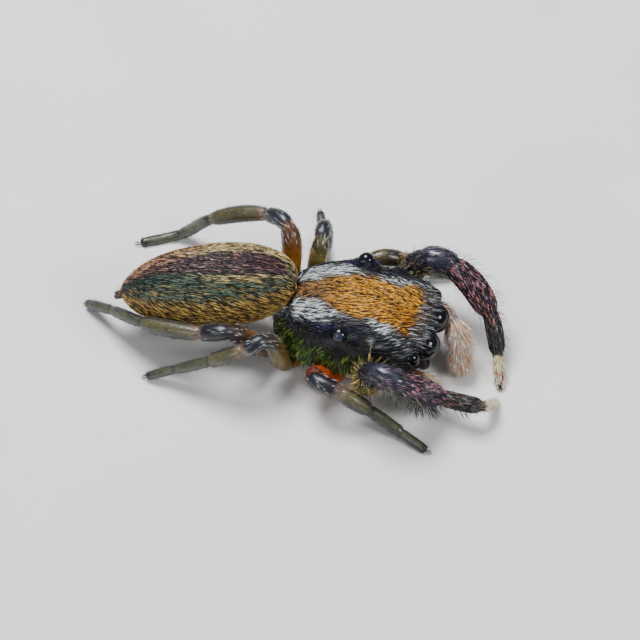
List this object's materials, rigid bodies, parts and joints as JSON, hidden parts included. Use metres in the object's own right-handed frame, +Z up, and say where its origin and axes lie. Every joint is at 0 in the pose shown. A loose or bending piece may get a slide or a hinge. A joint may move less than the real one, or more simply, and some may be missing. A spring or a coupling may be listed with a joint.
{
  "type": "jumping spider",
  "caption": "Still life-size male jumping spider standing on its feet, long oval rear body turned a little aside, thick dark front legs raised.",
  "frame": {"origin": "centre of the whole box, on the floor that the feet stand on", "axes": "+X points to the head, +Y to the spider's left, +Z up"},
  "size_m": [0.0072, 0.0044, 0.0017],
  "materials": {
    "shield": "black shield with orange, white and green scales",
    "abdomen": "bronze, teal and golden scales",
    "front_leg": "black with purple sheen and pink scales",
    "amber": "translucent amber cuticle",
    "olive": "translucent olive cuticle",
    "knee": "blue-black cuticle",
    "palp_hair": "pale orange and white hair",
    "pale_foot": "pale cuticle with white hair",
    "eye": "black lens"
  },
  "bodies": {
    "root": {"abdomen": "abdomen", "carapace": "shield", "chelicera_left": "shield", "chelicera_right": "shield", "eye_front_middle_left": "eye", "eye_front_middle_right": "eye", "eye_front_side_left": "eye", "eye_front_side_right": "eye", "eye_rear_left": "eye", "eye_rear_right": "eye", "eye_small_left": "eye", "eye_small_right": "eye", "leg_1_left_femur": "front_leg", "leg_1_left_metatarsus": "pale_foot", "leg_1_left_patella": "front_leg", "leg_1_left_tarsus": "pale_foot", "leg_1_left_tibia": "front_leg", "leg_1_right_femur": "front_leg", "leg_1_right_metatarsus": "pale_foot", "leg_1_right_patella": "front_leg", "leg_1_right_tarsus": "pale_foot", "leg_1_right_tibia": "front_leg", "leg_2_left_femur": "amber", "leg_2_left_metatarsus": "olive", "leg_2_left_patella": "knee", "leg_2_left_tarsus": "olive", "leg_2_left_tibia": "olive", "leg_2_right_femur": "amber", "leg_2_right_metatarsus": "olive", "leg_2_right_patella": "knee", "leg_2_right_tarsus": "olive", "leg_2_right_tibia": "olive", "leg_3_left_femur": "amber", "leg_3_left_metatarsus": "olive", "leg_3_left_patella": "knee", "leg_3_left_tarsus": "olive", "leg_3_left_tibia": "olive", "leg_3_right_femur": "amber", "leg_3_right_metatarsus": "olive", "leg_3_right_patella": "knee", "leg_3_right_tarsus": "olive", "leg_3_right_tibia": "olive", "leg_4_left_femur": "amber", "leg_4_left_metatarsus": "olive", "leg_4_left_patella": "knee", "leg_4_left_tarsus": "olive", "leg_4_left_tibia": "olive", "leg_4_right_femur": "amber", "leg_4_right_metatarsus": "olive", "leg_4_right_patella": "knee", "leg_4_right_tarsus": "olive", "leg_4_right_tibia": "olive", "palp_left_arm": "palp_hair", "palp_left_brush": "palp_hair", "palp_right_arm": "palp_hair", "palp_right_brush": "palp_hair", "spinnerets": "knee", "sternum": "amber", "waist_stalk": "shield"}
  },
  "joints": []
}
